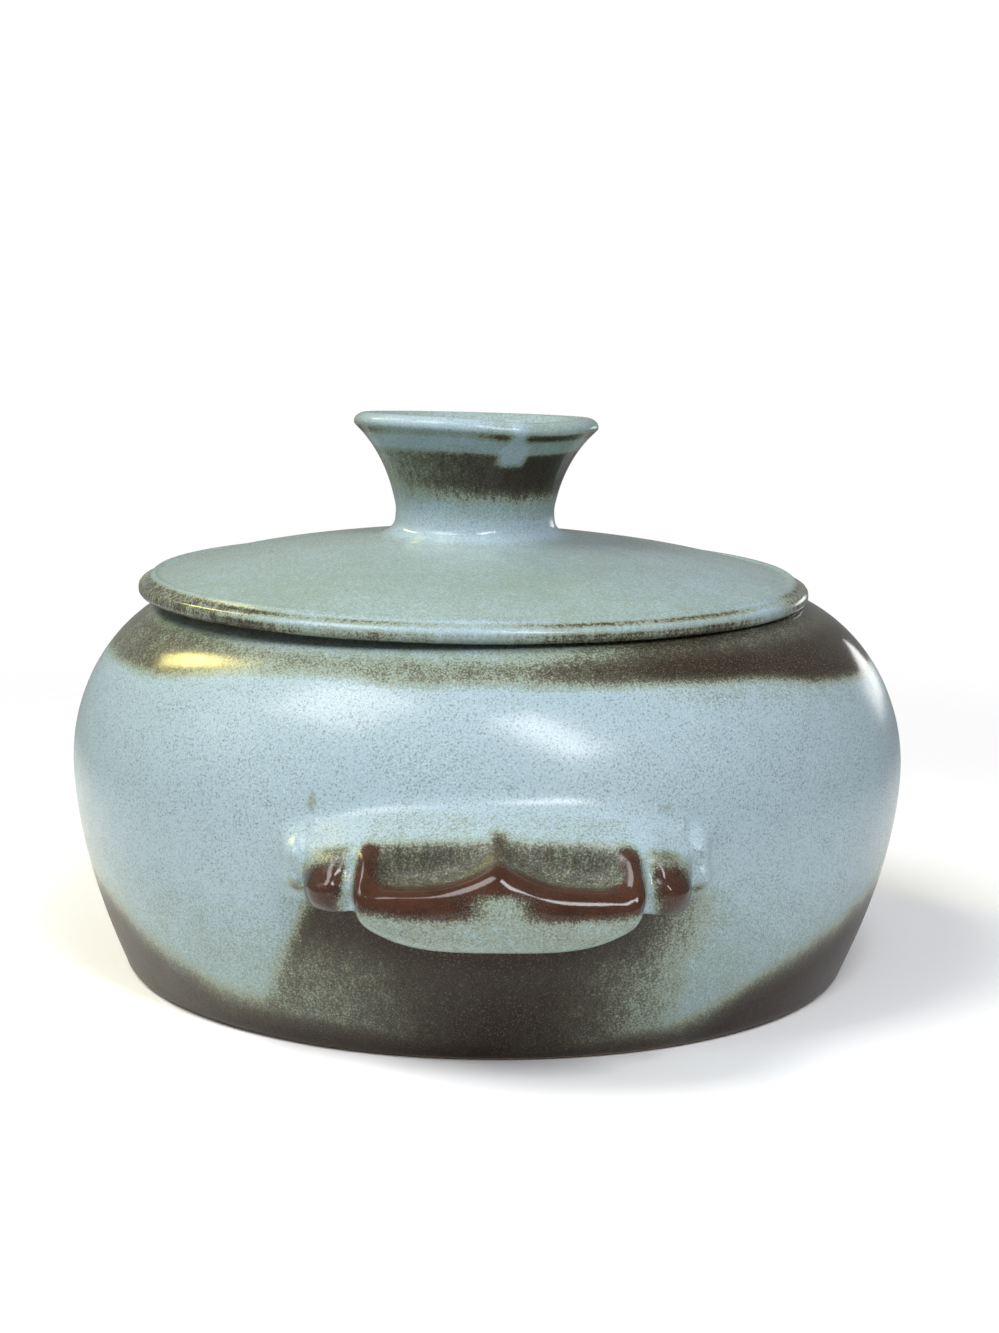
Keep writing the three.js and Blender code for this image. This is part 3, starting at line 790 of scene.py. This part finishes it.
def lid_object(cover):
    """The lid with its knob, turned from its profile."""
    profile = lid_profile()
    mesh = bpy.data.meshes.new("lid_profile")
    points = [(r * MM, 0.0, z * MM) for r, z in profile[:, :2]]
    mesh.from_pydata(points, [(i, i + 1) for i in range(len(points) - 1)], [])
    for label, values in zip(("glaze_thin", "bare_clay", "lip_lean"), profile[:, 2:].T):
        mesh.attributes.new(label, "FLOAT", "POINT").data.foreach_set("value", values.astype(np.float32))
    wheel = bpy.data.objects.new("lid_profile", mesh)
    bpy.context.scene.collection.objects.link(wheel)
    tree, names = turning_tree()
    modifier = wheel.modifiers.new("turning", "NODES")
    modifier.node_group = tree
    modifier[names["Columns"]] = LID_COLUMNS + 1
    modifier[names["Rows"]] = LID_ROWS
    modifier[names["Glaze"]] = cover
    scene_state = bpy.context.evaluated_depsgraph_get()
    turned = bpy.data.meshes.new_from_object(wheel.evaluated_get(scene_state), preserve_all_data_layers=True,
                                             depsgraph=scene_state)
    wheel.modifiers.remove(modifier)
    bpy.data.objects.remove(wheel)
    turned.name = "lid_with_knob"
    obj = bpy.data.objects.new("lid_with_knob", turned)
    bpy.context.scene.collection.objects.link(obj)
    return obj


def near_turn(turn, middle, half_width):
    """1 near a direction in degrees, falling off past a half width."""
    return np.exp(-((np.mod(turn - middle + 180, 360) - 180) / half_width) ** 4)


def finish_lid(mesh):
    """What isn't the same all round the lid: a drop of glaze that ran over the lip's pinch, the knob's
    darker side and lip, and the broken brown line along the rim. The lid then shifts to its place in
    the mouth."""
    places = np.empty(len(mesh.vertices) * 3, np.float32)
    mesh.vertices.foreach_get("co", places)
    places = places.reshape(-1, 3).astype(float)
    thin = np.empty(len(mesh.vertices), np.float32)
    mesh.attributes["glaze_thin"].data.foreach_get("value", thin)
    radius = np.hypot(places[:, 0], places[:, 1]) / MM
    up = places[:, 2] / MM - KNOB_FOOT
    turn = np.degrees(np.arctan2(places[:, 1], places[:, 0]))
    outside = (up > 3) & (radius > 20)
    aside = (turn - DRIP_TURN) * np.pi / 180 * radius
    neck = hump(aside, 0, 2.2) * step(up, 22, 25)
    drop = np.exp(-((aside / DRIP_HALF_WIDTH) ** 4) - ((up - DRIP_HEIGHT) / DRIP_HALF_LENGTH) ** 4)
    drip = np.where(outside, np.maximum(neck, drop), 0)
    on_rim = (radius > DOME_EDGE - 0.8) & (up < 0) & (places[:, 2] / MM > SEAT_HEIGHT - 1)
    left = near_turn(turn, -155, 30)
    broken = 0.72 + 0.2 * np.sin(np.radians(5 * turn + 30)) + 0.14 * np.sin(np.radians(13 * turn))
    right = near_turn(turn, -12, 20)
    thin = np.where(on_rim, np.maximum(thin * broken, 0.62 * left + 0.58 * right), thin)
    side = 0.68 + 0.29 * np.cos(np.radians(turn + 32))
    from_left = np.mod(turn + 168 + 180, 360) - 180
    lip_side = 0.4 + 0.6 * np.maximum(step(turn, -98, -72), hump(from_left, 0, 24))
    thin = np.where(outside, thin * np.where(up < 27, side, lip_side), thin) * (1 - drip)
    mesh.attributes["glaze_thin"].data.foreach_set("value", thin.astype(np.float32))
    swell = 1 + DRIP_SWELL * drip / np.maximum(radius, 1)
    places[:, 0] *= swell
    places[:, 1] *= swell
    places[:, 0] += LID_SHIFT * MM
    mesh.vertices.foreach_set("co", places.astype(np.float32).ravel())
    speckled = np.where(thin > 0.34, np.where(outside & (up > 13), 0.5, 1.0), 0.25)
    throat = hump(up, 1.8, 2.2) * (radius < 28)
    for label, values in (("peppered", speckled), ("satin", shine_loss(thin) * (1 - 0.8 * throat))):
        mesh.attributes.new(label, "FLOAT", "POINT").data.foreach_set("value", values.astype(np.float32))
    mesh.update()


def outward(obj):
    """Turns a closed mesh's faces outwards."""
    work = bmesh.new()
    work.from_mesh(obj.data)
    bmesh.ops.recalc_face_normals(work, faces=work.faces)
    if work.calc_volume(signed=True) < 0:
        bmesh.ops.reverse_faces(work, faces=work.faces)
    work.to_mesh(obj.data)
    work.free()


bowl_glaze = glaze("bowl_glaze", 2.0, 0.85, 0.3)
lid_glaze = glaze("lid_glaze", 31.0, 0.5, 0.75)
dish = grid_object("bowl_with_lugs", *dish_mesh())
dish.data.materials.append(bowl_glaze)
lid = lid_object(lid_glaze)
finish_lid(lid.data)
for piece in (dish, lid):
    outward(piece)

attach(dish, "dish")
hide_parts("bowl", "front_handle", "back_handle")
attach(lid, "lid_body")
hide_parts("lid", "lid_knob")


# Studio

def studio_floor():
    """White paper that fades out round the object."""
    mesh = bpy.data.meshes.new("studio_floor")
    half = 3.0
    corners = [(-half, -half, 0), (half, -half, 0), (half, half, 0), (-half, half, 0)]
    mesh.from_pydata(corners, [], [(0, 1, 2, 3)])
    floor = bpy.data.objects.new("studio_floor", mesh)
    bpy.context.scene.collection.objects.link(floor)
    material = bpy.data.materials.new("studio_floor")
    material.use_nodes = True
    tree = material.node_tree
    tree.nodes.clear()
    place = node(tree, "ShaderNodeTexCoord", {}, {})[3]
    distance = node(tree, "ShaderNodeVectorMath", {"operation": "LENGTH"}, {0: place})[1]
    far = distance.ramp(0.2, 0.55)
    paper = node(tree, "ShaderNodeBsdfDiffuse", {}, {0: (0.92, 0.92, 0.92, 1.0)})[0]
    clear = node(tree, "ShaderNodeBsdfTransparent", {}, {})[0]
    cover = node(tree, "ShaderNodeMixShader", {}, {0: far, 1: paper, 2: clear})[0]
    node(tree, "ShaderNodeOutputMaterial", {}, {0: cover})
    mesh.materials.append(material)


def studio_world(ambient, back, front):
    """A dim room, mirrored brighter behind the object than in front of it; the camera sees white."""
    world = bpy.data.worlds.new("white_studio")
    world.use_nodes = True
    tree = world.node_tree
    tree.nodes.clear()
    rays = node(tree, "ShaderNodeLightPath", {}, {})
    heading = node(tree, "ShaderNodeTexCoord", {}, {})[0]
    behind = node(tree, "ShaderNodeSeparateXYZ", {}, {0: heading})[1].ramp(-0.35, 0.45)
    mirrored = front + behind * (back - front)
    seen = rays[0] + rays[3] * mirrored
    strength = seen + (1.0 - rays[0].sum("MAXIMUM", rays[0], rays[3])) * ambient
    sky = node(tree, "ShaderNodeBackground", {}, {0: (1.0, 1.0, 1.0, 1.0), 1: strength})[0]
    node(tree, "ShaderNodeOutputWorld", {}, {0: sky})
    bpy.context.scene.world = world


def softbox(name, place, target, width, height, power, tint, turn=0.0, spread=180.0):
    """A lamp that faces a target: metres, watts, and degrees for its turn and the spread of its light."""
    light = bpy.data.lights.new(name, "AREA")
    light.shape = "RECTANGLE"
    light.size = width
    light.size_y = height
    light.energy = power
    light.color = tint
    light.spread = math.radians(spread)
    lamp = bpy.data.objects.new(name, light)
    bpy.context.scene.collection.objects.link(lamp)
    aim = Vector(place) - Vector(target)
    roll = Matrix.Rotation(math.radians(turn), 4, "Z")
    facing = aim.to_track_quat("Z", "Y").to_matrix().to_4x4()
    lamp.matrix_world = Matrix.Translation(place) @ facing @ roll


def photo_camera():
    camera = bpy.data.cameras.new("photo_camera")
    camera.sensor_width = 36.0
    camera.lens = CAMERA_LENS
    holder = bpy.data.objects.new("photo_camera", camera)
    bpy.context.scene.collection.objects.link(holder)
    yaw = Matrix.Rotation(math.radians(CAMERA_YAW), 4, "Z")
    pitch = Matrix.Rotation(math.radians(90 - CAMERA_PITCH), 4, "X")
    roll = Matrix.Rotation(math.radians(CAMERA_ROLL), 4, "Z")
    round_object = Matrix.Rotation(math.radians(CAMERA_ROUND_OBJECT), 4, "Z")
    holder.matrix_world = round_object @ Matrix.Translation(CAMERA_PLACE) @ yaw @ pitch @ roll
    bpy.context.scene.camera = holder


studio_floor()
studio_world(ambient=0.23, back=0.24, front=0.14)
softbox("left_key", (-0.9, -0.5, 1.5), (0, 0, 0.06), 0.8, 0.8, 25, (1.0, 0.99, 0.97))
softbox("left_sky", (-1.1, -0.17, 0.7), (0, 0, 0.08), 0.5, 0.5, 1.5, (0.88, 0.94, 1.0))
softbox("front_window", (0.28, -0.82, 0.91), (0.01, -0.11, 0.083), 0.22, 0.64, 11.5, (0.95, 0.96, 1.0),
        turn=28)
softbox("warm_window", (-0.83, 0.52, 0.82), (-0.074, -0.068, 0.093), 0.14, 0.54, 0.22, (1.0, 0.88, 0.3),
        turn=-24, spread=32)
softbox("right_window", (0.74, 0.97, 0.17), (0.1, -0.04, 0.07), 0.35, 0.2, 0.7, (1.0, 1.0, 1.0))
photo_camera()

scene = bpy.context.scene
scene.view_settings.view_transform = "Standard"
